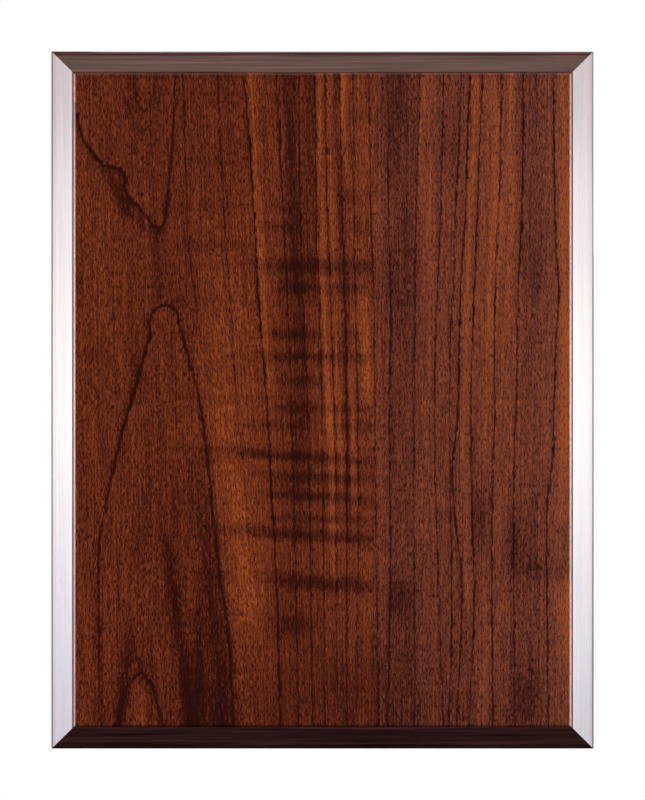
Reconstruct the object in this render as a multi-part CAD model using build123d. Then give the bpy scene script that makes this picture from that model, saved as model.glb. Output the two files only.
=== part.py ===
"""Wall plaque: a veneered fibreboard panel with a mitred hardwood edge and flush keyhole hangers.

Units are millimetres. The back of the plaque lies on the plane Y = 0 with the origin at its centre,
the front faces -Y, +Z is up and +X is to the right of someone who looks at the front.
"""

import os
from math import atan, cos, degrees, radians, sin, tan

from build123d import *

# ---------------------------------------------------------------- overall size
PLAQUE_WIDTH = 177.8  # 7 in, along X
PLAQUE_HEIGHT = 228.6  # 9 in, along Z

# ---------------------------------------------------------------- layers, front to back
VENEER_THICKNESS = 0.9
CORE_THICKNESS = 14.5
BACKING_THICKNESS = 0.5

# ---------------------------------------------------------------- edge moulding section
SHOULDER_WIDTH = 0.85  # rounded shelf round the raised face
SHOULDER_START_ANGLE = 10.0  # slope where the shelf meets the face's edge
BEVEL_WIDTH = 5.2  # hollow bevel, seen from the front
BEVEL_ANGLE = 44.0  # of the bevel's chord, from the plane of the face
BEVEL_HOLLOW = 0.25  # how far the bevel dips below its chord
NOSE_WIDTH = 1.7  # rounded outer edge, seen from the front
NOSE_START_ANGLE = 54.0  # slope where the nose leaves the bevel
BACK_ARRIS_CHAMFER = 0.6

# ---------------------------------------------------------------- moulding to core joint
TONGUE_LENGTH = 4.5
TONGUE_THICKNESS = 4.0
TONGUE_FROM_BACK = 4.6  # back of the board to the near cheek of the tongue
TONGUE_CHEEK_CLEARANCE = 0.1
TONGUE_END_CLEARANCE = 0.5

# ---------------------------------------------------------------- mitre nails
NAIL_LEG = 3.6
NAIL_GAUGE = 0.5
NAIL_LENGTH = 7.0
NAIL_INSET = 2.6  # outer face of the moulding to the middle of the nail's leg

# ---------------------------------------------------------------- face and backing
FACE_ARRIS_RADIUS = 0.8
BACKING_INSET = 2.2  # edge of the plaque to the edge of the backing sheet
BACKING_CORNER_RADIUS = 1.5
BACKING_WINDOW_MARGIN = 0.8  # bare board left round each hanger plate

# ---------------------------------------------------------------- keyhole hangers
PLATE_LENGTH = 42.0
PLATE_WIDTH = 16.0
PLATE_THICKNESS = 1.5
PLATE_EDGE_FILLET = 0.35
PLATE_CLEARANCE = 0.2  # round the plate in its recess
KEYHOLE_ENTRY_RADIUS = 5.0
KEYHOLE_SLOT_WIDTH = 5.0
KEYHOLE_TRAVEL = 9.5  # entry centre to the centre of the slot's round end
SCREW_SPACING = 32.0
HANGER_FROM_EDGE = 36.0  # plaque's edge to the plate's centre
HEAD_POCKET_DEPTH = 6.0  # behind the plate
HEAD_POCKET_CLEARANCE = 2.0  # round the head of the wall screw

# ---------------------------------------------------------------- hanger screws
SCREW_LENGTH = 12.0
SCREW_HEAD_RADIUS = 2.8
SCREW_SHANK_RADIUS = 1.2
SCREW_HEAD_DEPTH = 1.3
SCREW_TIP_LENGTH = 2.4
SCREW_SEAT_CLEARANCE = 0.06  # between the screw and the plate's countersink
PILOT_CLEARANCE = 0.04  # between the screw and the hole it has cut in the board
CROSS_LENGTH = 3.0
CROSS_WIDTH = 0.75
CROSS_DEPTH = 0.95

# ---------------------------------------------------------------- worked out from the sizes above
Y_BOARD_BACK = -BACKING_THICKNESS
Y_BOARD_FRONT = Y_BOARD_BACK - CORE_THICKNESS
MOULDING_WIDTH = SHOULDER_WIDTH + BEVEL_WIDTH + NOSE_WIDTH
FIELD_WIDTH = PLAQUE_WIDTH - 2 * MOULDING_WIDTH
FIELD_HEIGHT = PLAQUE_HEIGHT - 2 * MOULDING_WIDTH
BEVEL_DROP = BEVEL_WIDTH * tan(radians(BEVEL_ANGLE))
BEVEL_CHORD = BEVEL_WIDTH / cos(radians(BEVEL_ANGLE))
BEVEL_TOP_ANGLE = BEVEL_ANGLE + degrees(2 * atan(2 * BEVEL_HOLLOW / BEVEL_CHORD))
SHOULDER_RADIUS = SHOULDER_WIDTH / (
    sin(radians(BEVEL_TOP_ANGLE)) - sin(radians(SHOULDER_START_ANGLE))
)
SHOULDER_DROP = SHOULDER_RADIUS * (
    cos(radians(SHOULDER_START_ANGLE)) - cos(radians(BEVEL_TOP_ANGLE))
)
NOSE_RADIUS = NOSE_WIDTH / (1 - sin(radians(NOSE_START_ANGLE)))
NOSE_DROP = NOSE_RADIUS * cos(radians(NOSE_START_ANGLE))
ENTRY_OFFSET = -KEYHOLE_TRAVEL / 2  # entry centre, from the plate's centre along the plate
Y_PLATE_FRONT = Y_BOARD_BACK - PLATE_THICKNESS


def prism(outline, y_back, y_front):
    """Extrude an outline drawn in X and Z from one plane of constant Y forward to another."""
    return Pos(0, y_back, 0) * extrude(Plane.XZ * outline, y_back - y_front)


# ================================================================ panel


def make_core_board():
    """Fibreboard panel, grooved all round for the moulding and pocketed for the hangers."""
    board = prism(Rectangle(FIELD_WIDTH, FIELD_HEIGHT), Y_BOARD_BACK, Y_BOARD_FRONT)

    groove_back = Y_BOARD_BACK - TONGUE_FROM_BACK + TONGUE_CHEEK_CLEARANCE
    groove_front = groove_back - TONGUE_THICKNESS - 2 * TONGUE_CHEEK_CLEARANCE
    groove_depth = TONGUE_LENGTH + TONGUE_END_CLEARANCE
    ring = Rectangle(FIELD_WIDTH, FIELD_HEIGHT)
    ring -= Rectangle(FIELD_WIDTH - 2 * groove_depth, FIELD_HEIGHT - 2 * groove_depth)
    board -= prism(ring, groove_back, groove_front)

    for place in hanger_places():
        board -= place * make_hanger_cutter()
    return board


def make_face_veneer():
    """Figured veneer that stands proud of the moulding's shoulder, its front edge eased all round."""
    sheet = prism(
        Rectangle(FIELD_WIDTH, FIELD_HEIGHT), Y_BOARD_FRONT, Y_BOARD_FRONT - VENEER_THICKNESS
    )
    front = sheet.faces().sort_by(Axis.Y)[0]
    return fillet(front.edges(), min(FACE_ARRIS_RADIUS, 0.9 * VENEER_THICKNESS))


def make_backing_sheet():
    """Paper backing over the board and most of the moulding, with a window for each hanger."""
    outline = RectangleRounded(
        PLAQUE_WIDTH - 2 * BACKING_INSET, PLAQUE_HEIGHT - 2 * BACKING_INSET, BACKING_CORNER_RADIUS
    )
    sheet = prism(outline, 0, Y_BOARD_BACK)
    window = plate_outline(PLATE_CLEARANCE + BACKING_WINDOW_MARGIN)
    for place in hanger_places():
        sheet -= place * prism(window, 0, Y_BOARD_BACK)
    return sheet


# ================================================================ mitred edge


def moulding_section():
    """Cross-section of the moulding, drawn as (inwards from the plaque's edge, Y)."""
    seam = (MOULDING_WIDTH, Y_BOARD_FRONT)
    shoulder_foot = (MOULDING_WIDTH - SHOULDER_WIDTH, Y_BOARD_FRONT + SHOULDER_DROP)
    crease = (NOSE_WIDTH, shoulder_foot[1] + BEVEL_DROP)
    nose_foot = (0, crease[1] + NOSE_DROP)

    middle = (Vector(*crease) + Vector(*shoulder_foot)) / 2
    into_wood = Vector(sin(radians(BEVEL_ANGLE)), cos(radians(BEVEL_ANGLE)))
    hollow = middle + into_wood * BEVEL_HOLLOW

    tongue_back = Y_BOARD_BACK - TONGUE_FROM_BACK
    tongue_front = tongue_back - TONGUE_THICKNESS
    tongue_tip = MOULDING_WIDTH + TONGUE_LENGTH
    outline = [
        ThreePointArc(crease, hollow, shoulder_foot),
        RadiusArc(shoulder_foot, seam, -SHOULDER_RADIUS),
        Polyline(
            seam,
            (MOULDING_WIDTH, tongue_front),
            (tongue_tip, tongue_front),
            (tongue_tip, tongue_back),
            (MOULDING_WIDTH, tongue_back),
            (MOULDING_WIDTH, Y_BOARD_BACK),
            (BACK_ARRIS_CHAMFER, Y_BOARD_BACK),
            (0, Y_BOARD_BACK - BACK_ARRIS_CHAMFER),
            nose_foot,
        ),
        RadiusArc(nose_foot, crease, -NOSE_RADIUS),
    ]
    return make_face(outline)


def make_moulding(length):
    """One edge moulding that runs along X with its outer face on Z = 0, mitred at both ends."""
    across = Plane(origin=(-length / 2, 0, 0), x_dir=(0, 0, 1), z_dir=(1, 0, 0))
    reach = MOULDING_WIDTH + TONGUE_LENGTH
    # In this plane local y runs towards -Y, so the section is mirrored to face the front.
    bar = extrude(across * mirror(moulding_section(), about=Plane.XZ), length)
    kept = Polygon(
        (-length / 2, 0),
        (length / 2, 0),
        (length / 2 - reach, reach),
        (-length / 2 + reach, reach),
        align=None,
    )
    return bar & prism(kept, Y_BOARD_BACK, Y_BOARD_FRONT)


def edge_places():
    """Side name, moulding length and the placing of its outer face for each edge."""
    return {
        "bottom": (PLAQUE_WIDTH, Pos(0, 0, -PLAQUE_HEIGHT / 2)),
        "left": (PLAQUE_HEIGHT, Pos(-PLAQUE_WIDTH / 2, 0, 0) * Rot(0, 90, 0)),
        "top": (PLAQUE_WIDTH, Pos(0, 0, PLAQUE_HEIGHT / 2) * Rot(0, 180, 0)),
        "right": (PLAQUE_HEIGHT, Pos(PLAQUE_WIDTH / 2, 0, 0) * Rot(0, -90, 0)),
    }


def make_mitre_nail():
    """Folded steel wedge nail for a bottom left corner that lies on the origin."""
    outer = NAIL_INSET - NAIL_GAUGE / 2
    tip = outer + NAIL_LEG
    square = Polygon((outer, outer), (tip, outer), (tip, tip), (outer, tip), align=None)
    inside = outer + NAIL_GAUGE
    square -= Polygon((inside, inside), (tip, inside), (tip, tip), (inside, tip), align=None)
    return prism(square, Y_BOARD_BACK, Y_BOARD_BACK - NAIL_LENGTH)


def corner_places():
    """Corner name and the placing of a bottom left corner's piece there."""
    half_width, half_height = PLAQUE_WIDTH / 2, PLAQUE_HEIGHT / 2
    return {
        "bottom_left": Pos(-half_width, 0, -half_height),
        "top_left": Pos(-half_width, 0, half_height) * Rot(0, 90, 0),
        "top_right": Pos(half_width, 0, half_height) * Rot(0, 180, 0),
        "bottom_right": Pos(half_width, 0, -half_height) * Rot(0, -90, 0),
    }


# ================================================================ hangers


def hanger_places():
    """The placing of each hanger: upright below the top edge, and on its side by the left edge."""
    return [
        Pos(0, 0, PLAQUE_HEIGHT / 2 - HANGER_FROM_EDGE),
        Pos(-PLAQUE_WIDTH / 2 + HANGER_FROM_EDGE, 0, 0) * Rot(0, -90, 0),
    ]


def plate_outline(margin=0.0):
    """The hanger plate's round-ended outline, grown by a margin, with its length along Z."""
    return SlotOverall(PLATE_LENGTH + 2 * margin, PLATE_WIDTH + 2 * margin, rotation=90)


def keyhole_outline(entry_radius, slot_width):
    """A round entry with a narrower slot that rises from it to a round end."""
    entry = Pos(0, ENTRY_OFFSET) * Circle(entry_radius)
    slot = Rectangle(slot_width, KEYHOLE_TRAVEL)
    end = Pos(0, ENTRY_OFFSET + KEYHOLE_TRAVEL) * Circle(slot_width / 2)
    return entry + slot + end


def screw_places():
    """Centre of each screw hole, along the plate."""
    return [Pos(0, 0, SCREW_SPACING / 2), Pos(0, 0, -SCREW_SPACING / 2)]


def make_hanger_plate():
    """Steel keyhole plate with a countersunk hole at each end."""
    plate = prism(plate_outline(), Y_BOARD_BACK, Y_PLATE_FRONT)
    rim = plate.faces().sort_by(Axis.Y)[-1].edges()
    plate = fillet(rim, min(PLATE_EDGE_FILLET, 0.4 * PLATE_THICKNESS))
    plate -= prism(
        keyhole_outline(KEYHOLE_ENTRY_RADIUS, KEYHOLE_SLOT_WIDTH), Y_BOARD_BACK, Y_PLATE_FRONT
    )
    for place in screw_places():
        plate -= place * make_screw_body(SCREW_SEAT_CLEARANCE)
    return plate


def make_hanger_cutter():
    """What is routed out of the board for one hanger: recess, head pocket and pilot holes."""
    cutter = prism(plate_outline(PLATE_CLEARANCE), Y_BOARD_BACK, Y_PLATE_FRONT)
    head_radius = KEYHOLE_ENTRY_RADIUS + HEAD_POCKET_CLEARANCE
    pocket = SlotCenterToCenter(KEYHOLE_TRAVEL, 2 * head_radius, rotation=90)
    cutter += prism(pocket, Y_PLATE_FRONT, Y_PLATE_FRONT - HEAD_POCKET_DEPTH)
    for place in screw_places():
        cutter += place * make_screw_body(PILOT_CLEARANCE)
    return cutter


def make_screw_body(clearance):
    """Countersunk screw without its recess, its head flush with the board's back, grown by a clearance."""
    head = SCREW_HEAD_RADIUS + clearance
    shank = SCREW_SHANK_RADIUS + clearance
    tip = Y_BOARD_BACK - SCREW_LENGTH - clearance
    section = Polygon(
        (0, Y_BOARD_BACK),
        (head, Y_BOARD_BACK),
        (shank, Y_BOARD_BACK - SCREW_HEAD_DEPTH),
        (shank, tip + SCREW_TIP_LENGTH),
        (0, tip),
        align=None,
    )
    return revolve(section, Axis.Y)


def make_hanger_screws():
    """The two screws of one hanger, each with a cross recess."""
    screw = make_screw_body(0)
    for turn in (0, 90):
        blade = Rectangle(CROSS_LENGTH, CROSS_WIDTH, rotation=turn)
        screw -= prism(blade, Y_BOARD_BACK, Y_BOARD_BACK - CROSS_DEPTH)
    upper, lower = screw_places()
    return upper * screw + lower * screw


# ================================================================ assembly


def make_parts():
    """Every sub-part in its place, by node name."""
    parts = {
        "core_board": make_core_board(),
        "face_veneer": make_face_veneer(),
        "backing_sheet": make_backing_sheet(),
    }
    nails = {f"mitre_nail_{name}": place * make_mitre_nail() for name, place in corner_places().items()}
    for side, (length, place) in edge_places().items():
        moulding = place * make_moulding(length)
        for nail in nails.values():
            moulding -= nail
        parts[f"moulding_{side}"] = moulding
    parts.update(nails)
    for side, place in zip(("top", "side"), hanger_places()):
        parts[f"hanger_plate_{side}"] = place * make_hanger_plate()
        parts[f"hanger_screws_{side}"] = place * make_hanger_screws()
    return parts


def main():
    """Write one STEP file for each sub-part."""
    os.makedirs("parts", exist_ok=True)
    for name, shape in make_parts().items():
        export_step(shape, f"parts/{name}.step")


main()
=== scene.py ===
"""Looks of a wooden wall plaque: figured cherry face, lacquered walnut edge and flush steel hangers.

Everything is in metres in the plaque's own frame: the back lies on Y = 0, the front faces -Y, +Z is up.
Positions on the face are marked the way a joiner marks a panel: millimetres across from its left edge
and millimetres down from its top edge.
"""

import logging
import math
from dataclasses import dataclass
from enum import Enum

import bmesh
import bpy
import numpy as np
from mathutils import Matrix, Vector

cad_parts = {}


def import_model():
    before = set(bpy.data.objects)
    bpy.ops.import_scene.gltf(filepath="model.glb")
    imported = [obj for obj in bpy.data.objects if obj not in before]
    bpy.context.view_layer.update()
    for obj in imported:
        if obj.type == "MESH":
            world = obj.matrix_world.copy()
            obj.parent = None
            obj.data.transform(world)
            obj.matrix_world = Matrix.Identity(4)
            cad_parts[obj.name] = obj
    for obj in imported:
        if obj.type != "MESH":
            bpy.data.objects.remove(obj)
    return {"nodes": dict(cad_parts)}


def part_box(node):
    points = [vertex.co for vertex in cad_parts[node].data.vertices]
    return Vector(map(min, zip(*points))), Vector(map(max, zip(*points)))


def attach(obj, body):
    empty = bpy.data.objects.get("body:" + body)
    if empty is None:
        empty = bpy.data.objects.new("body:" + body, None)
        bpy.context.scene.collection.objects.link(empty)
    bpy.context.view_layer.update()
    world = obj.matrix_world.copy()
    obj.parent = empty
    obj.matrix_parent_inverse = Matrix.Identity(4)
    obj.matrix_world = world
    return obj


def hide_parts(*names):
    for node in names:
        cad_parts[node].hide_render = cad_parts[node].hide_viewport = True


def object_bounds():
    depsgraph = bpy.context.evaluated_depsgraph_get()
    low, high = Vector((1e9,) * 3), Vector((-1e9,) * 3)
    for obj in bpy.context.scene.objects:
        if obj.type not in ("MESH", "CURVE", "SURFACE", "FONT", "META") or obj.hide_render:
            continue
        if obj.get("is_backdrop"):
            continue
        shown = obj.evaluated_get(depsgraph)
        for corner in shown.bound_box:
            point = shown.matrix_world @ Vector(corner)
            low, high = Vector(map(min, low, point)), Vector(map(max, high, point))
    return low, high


LOG = logging.getLogger("plaque")
MM = 0.001
SHARP_TURN = math.radians(35)  # edges that turn further than this stay sharp
FAR = 1000.0  # millimetres, further than anything on the face
TIE = 1e-6  # millimetres within which two distances are equal

Tree = bpy.types.NodeTree
Node = bpy.types.Node
Socket = bpy.types.NodeSocket
Material = bpy.types.Material
Piece = bpy.types.Object
Colour = tuple[float, float, float, float]
Mark = tuple[float, float]
Pair = tuple[float, float]


class GrainRun(Enum):
    """Which way the grain runs in a piece of wood."""

    UPRIGHT = "upright"
    LEVEL = "level"


# ---------------------------------------------------------------------------- shared tools


def linear(code: str) -> Colour:
    """Turn an sRGB hex colour into a linear one.

    Args:
        code: Six hex digits with a leading hash.

    Returns:
        The linear colour with full alpha.
    """
    parts = [int(code[i : i + 2], 16) / 255 for i in (1, 3, 5)]
    red, green, blue = (c / 12.92 if c <= 0.04045 else ((c + 0.055) / 1.055) ** 2.4 for c in parts)
    return (red, green, blue, 1.0)


def add_node(tree: Tree, kind: str, settings: dict | None = None, links: dict | None = None) -> Node:
    """Add a node, set its properties and fill its inputs.

    Args:
        tree: The tree that takes the node.
        kind: The node's type name without its ShaderNode prefix.
        settings: Property names and their values.
        links: Input names or numbers, each with a value or an output socket to link.

    Returns:
        The new node.
    """
    node = tree.nodes.new("ShaderNode" + kind)
    for name, value in (settings or {}).items():
        setattr(node, name, value)
    for key, value in (links or {}).items():
        if isinstance(value, bpy.types.NodeSocket):
            tree.links.new(value, node.inputs[key])
        else:
            node.inputs[key].default_value = value
    return node


def new_material(name: str) -> tuple[Material, Tree]:
    """Make an empty node material.

    Args:
        name: The real material's name.

    Returns:
        The material and its cleared node tree.
    """
    material = bpy.data.materials.new(name)
    material.use_nodes = True
    material.node_tree.nodes.clear()
    return material, material.node_tree


def fill_ramp(node: Node, stops: tuple[tuple[float, str | float | Colour], ...]) -> None:
    """Set a colour ramp's stops.

    Args:
        node: The colour ramp node.
        stops: Places from 0 to 1 in rising order, each with an sRGB hex colour, a linear colour or
            one number for a grey.
    """
    elements = node.color_ramp.elements
    while len(elements) > 1:
        elements.remove(elements[-1])
    for count, (place, shade) in enumerate(stops):
        element = elements.new(place) if count else elements[0]
        element.position = place
        if isinstance(shade, str):
            element.color = linear(shade)
        else:
            element.color = shade if isinstance(shade, tuple) else (shade, shade, shade, 1.0)


def millimetres(tree: Tree) -> Socket:
    """Give the object coordinates in millimetres."""
    place = add_node(tree, "TexCoord").outputs["Object"]
    scale = add_node(tree, "VectorMath", {"operation": "SCALE"}, {0: place, "Scale": 1 / MM})
    return scale.outputs["Vector"]


def drawn_out_noise(
    tree: Tree, across: Socket, along: Socket, cell: Pair, detail: float, roughness: float = 0.6
) -> Socket:
    """Make noise that is drawn out along the grain.

    Args:
        tree: The material's tree.
        across: Millimetres across the grain.
        along: Millimetres along the grain.
        cell: The noise's size across and along the grain, in millimetres.
        detail: How much finer noise lies in it.
        roughness: How strong the finer noise is.

    Returns:
        The noise, from 0 to 1 about a middle of 0.5.
    """
    cells = {}
    for axis, (place, size) in enumerate(zip((across, along), cell)):
        divided = add_node(tree, "Math", {"operation": "DIVIDE"}, {0: place, 1: size})
        cells[axis] = divided.outputs[0]
    spot = add_node(tree, "CombineXYZ", links=cells).outputs[0]
    inputs = {"Vector": spot, "Scale": 1.0, "Detail": detail, "Roughness": roughness}
    return add_node(tree, "TexNoise", {"noise_dimensions": "2D"}, inputs).outputs[0]


def lay_surface(tree: Tree, height: Socket, relief: Pair, look: dict, sunken: bool = False) -> None:
    """Add a surface with a fine relief and link it to a new material output.

    Args:
        tree: The material's tree.
        height: The pattern that the relief follows.
        relief: The relief's strength, and its height in metres.
        look: The surface's inputs, each with a value or an output socket to link.
        sunken: True where the pattern's high values are the low places.
    """
    strength, distance = relief
    inputs = {"Strength": strength, "Distance": distance, "Height": height}
    bump = add_node(tree, "Bump", {"invert": sunken}, inputs)
    surface = add_node(tree, "BsdfPrincipled", links={**look, "Normal": bump.outputs[0]})
    add_node(tree, "OutputMaterial", links={"Surface": surface.outputs[0]})


def mesh_piece(bm: bmesh.types.BMesh, name: str) -> Piece:
    """Turn a bmesh into a finished piece at the origin.

    Args:
        bm: The mesh, in metres in the plaque's frame. It is freed.
        name: The piece's name.

    Returns:
        The linked object.
    """
    bmesh.ops.recalc_face_normals(bm, faces=bm.faces)
    for face in bm.faces:
        face.smooth = True
    for edge in bm.edges:
        edge.smooth = len(edge.link_faces) == 2 and edge.calc_face_angle(0.0) < SHARP_TURN
    mesh = bpy.data.meshes.new(name)
    bm.to_mesh(mesh)
    bm.free()
    piece = bpy.data.objects.new(name, mesh)
    bpy.context.scene.collection.objects.link(piece)
    return piece


def dress(piece: Piece, material: Material) -> None:
    """Give a piece one material for all its faces."""
    if not piece.material_slots:
        piece.data.materials.append(material)
    for place in piece.material_slots:
        place.material = material


def dress_nodes(nodes: dict, prefix: str, material: Material) -> list[Piece]:
    """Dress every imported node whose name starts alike.

    Args:
        nodes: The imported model's nodes by name.
        prefix: How the nodes' names start.
        material: The material they get.

    Returns:
        The dressed nodes, in the order of their names.
    """
    found = [nodes[name] for name in sorted(nodes) if name.startswith(prefix)]
    for piece in found:
        dress(piece, material)
    return found


def smooth_curve(marks: tuple[Mark, ...], steps: int) -> np.ndarray:
    """Draw a smooth line through a few marks.

    Args:
        marks: Points as (across, down) in millimetres.
        steps: How many short runs lie between two marks.

    Returns:
        The line's points, one row each.
    """
    given = np.array(marks, float)
    ends = np.vstack([2 * given[0] - given[1], given, 2 * given[-1] - given[-2]])
    rows = []
    for i in range(1, len(ends) - 2):
        a, b, c, d = ends[i - 1 : i + 3]
        bend, twist = 2 * a - 5 * b + 4 * c - d, 3 * b - a - 3 * c + d
        for t in np.linspace(0, 1, steps, endpoint=False):
            rows.append(0.5 * (2 * b + (c - a) * t + bend * t**2 + twist * t**3))
    rows.append(given[-1])
    return np.array(rows)


def spread_values(values: tuple[float, ...], count: int) -> np.ndarray:
    """Spread a few values evenly over more places.

    Args:
        values: The given values, first to last.
        count: How many places there are.

    Returns:
        One value for each place.
    """
    return np.interp(np.linspace(0, 1, count), np.linspace(0, 1, len(values)), values)


def trace(path: np.ndarray, values: np.ndarray, spots: np.ndarray) -> tuple[np.ndarray, np.ndarray]:
    """Measure many spots from a drawn path.

    Args:
        path: The path's points, one row each.
        values: One value for each point of the path.
        spots: One (across, down) row for each spot.

    Returns:
        The signed distance to the path, positive on its right as it is drawn, and the value there.
    """
    signed = np.full(len(spots), FAR)
    facing = np.zeros(len(spots))
    found = np.zeros(len(spots))
    for start, end, first, last in zip(path, path[1:], values, values[1:]):
        run = end - start
        length = float(np.hypot(*run))
        offset = spots - start
        along = np.clip(offset @ run / length**2, 0, 1)
        gap = offset - along[:, None] * run
        distance = np.hypot(gap[:, 0], gap[:, 1])
        aside = (run[0] * offset[:, 1] - run[1] * offset[:, 0]) / length
        change = distance - np.abs(signed)
        closer = (change < -TIE) | ((change < TIE) & (np.abs(aside) > np.abs(facing)))
        signed[closer] = np.copysign(distance, aside)[closer]
        facing[closer] = aside[closer]
        found[closer] = (first + (last - first) * along)[closer]
    return signed, found


# ---------------------------------------------------------------------------- marks on the face


@dataclass(frozen=True)
class GrowthLine:
    """A dark line where one year's growth ends.

    Attributes:
        marks: Points on the line as (across, down) in millimetres.
        ink: How dark the line is from its first end to its last, from 0 up to a little over 1.
        jagged: True keeps the corners at the marks, as in a torn crack.
    """

    marks: tuple[Mark, ...]
    ink: tuple[float, ...]
    jagged: bool = False

    def measure(self, spots: np.ndarray) -> tuple[np.ndarray, np.ndarray]:
        """Measure the line from many spots.

        Args:
            spots: One (across, down) row for each spot.

        Returns:
            The signed distance to the line, positive on its right as it is drawn, and the ink there.
        """
        path = smooth_curve(self.marks, 1 if self.jagged else 8)
        return trace(path, spread_values(self.ink, len(path)), spots)


@dataclass(frozen=True)
class LineGroup:
    """Growth lines that are inked alike and lie clear of each other.

    Attributes:
        name: The group's name, as in the face's attributes.
        width: Half the width of the hard stroke, in millimetres.
        stroke: How dark the stroke is.
        reach: How far the soft side reaches, in millimetres.
        tail: How dark the soft side is next to the stroke.
        lines: The lines themselves.
    """

    name: str
    width: float
    stroke: float
    reach: float
    tail: float
    lines: tuple[GrowthLine, ...]

    def measure(self, spots: np.ndarray) -> tuple[np.ndarray, np.ndarray]:
        """Measure each spot from the group's nearest line.

        Args:
            spots: One (across, down) row for each spot.

        Returns:
            The signed distance to the nearest line and its ink there.
        """
        away = np.full(len(spots), FAR)
        ink = np.zeros(len(spots))
        for line in self.lines:
            signed, shade = line.measure(spots)
            closer = np.abs(signed) < np.abs(away)
            away[closer], ink[closer] = signed[closer], shade[closer]
        return away, ink


@dataclass(frozen=True)
class SoftBand:
    """A soft band of darker or lighter wood that follows the growth of the tree.

    Attributes:
        marks: Points on its middle line as (across, down) in millimetres.
        depths: How much darker it is from its first end to its last; less than 0 where lighter.
        half_width: How far it reaches to each side, in millimetres.
    """

    marks: tuple[Mark, ...]
    depths: tuple[float, ...]
    half_width: float

    def spread(self, spots: np.ndarray) -> np.ndarray:
        """Give the band's depth at each spot."""
        path = smooth_curve(self.marks, 4)
        away, depth = trace(path, spread_values(self.depths, len(path)), spots)
        return depth * np.exp(-((away / self.half_width) ** 2))


@dataclass(frozen=True)
class SoftPatch:
    """A soft patch that is darker or lighter than the wood round it.

    Attributes:
        across: Its middle, from the face's left edge, in millimetres.
        down: Its middle, from the face's top edge, in millimetres.
        half_width: How far it reaches sideways, in millimetres.
        half_height: How far it reaches up and down, in millimetres.
        depth: How much darker its middle is; less than 0 for a lighter patch.
        slope: How far it falls for each millimetre to the right.
    """

    across: float
    down: float
    half_width: float
    half_height: float
    depth: float
    slope: float = 0.0

    def spread(self, spots: np.ndarray) -> np.ndarray:
        """Give the patch's depth at each spot."""
        x = spots[:, 0] - self.across
        y = spots[:, 1] - self.down - self.slope * x
        reach = (np.abs(x) / self.half_width) ** 3 + (np.abs(y) / self.half_height) ** 2
        return self.depth * np.exp(-reach)


# The torn crack at the upper left and the small peak that echoes it at the foot.
CRACK = (
    GrowthLine(
        (
            (-1, 7), (1, 13.2), (3.4, 22), (7.4, 27.6), (9.6, 30), (12.6, 30.6), (15.6, 31.4), (17, 34.6),
            (16.8, 37.8), (19, 42), (21.4, 43.4), (22.2, 45), (24.6, 47.2), (25.6, 49.6), (28.2, 51.2),
            (29.4, 48.6), (30.3, 44.6), (30.9, 36.3), (31.8, 28), (32.3, 19.8), (32.8, 11.6), (33.2, -2),
        ),
        (0.85, 0.95, 1, 1, 1, 1, 1, 1, 1, 1, 0.95, 0.95, 1, 0.8, 0.7, 0.6, 0.5, 0.4, 0.4),
        jagged=True,
    ),
    GrowthLine(
        ((13.8, 214), (16, 203.5), (18.6, 198.4), (22, 195.4), (25.4, 199), (27.4, 205), (29.4, 214)),
        (0.7, 0.75, 0.7, 0.7, 0.75, 0.6, 0.5),
    ),
)
# The tall cathedral arch and the faint nested peaks above it.
ARCH = (
    GrowthLine(
        (
            (52.4, 216), (50.5, 184), (47.3, 160.5), (44, 130), (42, 113.5), (40, 102), (37, 91),
            (34.4, 81.5), (33.6, 77.8), (30.6, 75.8), (27.2, 76.8), (24.8, 80.5), (25, 85.5), (23.2, 92),
            (20.6, 101.5), (17.2, 113), (13.9, 125), (10, 144), (8.2, 160), (8.6, 190), (9, 216),
        ),
        (
            0.5, 0.6, 0.65, 0.6, 0.65, 0.7, 0.65, 0.6, 0.7, 0.9, 1, 1.1, 1.1, 1, 0.9, 0.8, 0.7, 0.55, 0.5,
            0.4, 0.3,
        ),
    ),
    GrowthLine(((14.6, -2), (17.6, 10), (22.6, 19), (27.6, 10), (29.4, -2)), (0.2, 0.25, 0.25, 0.2, 0.15)),
    GrowthLine(((18.6, -2), (20.8, 9), (23, 12.5), (25.6, 8), (27, -2)), (0.25, 0.3, 0.3, 0.25, 0.2)),
    GrowthLine(((17.6, 176), (19.4, 184), (21.4, 193)), (0, 0.3, 0.35)),
)
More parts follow.
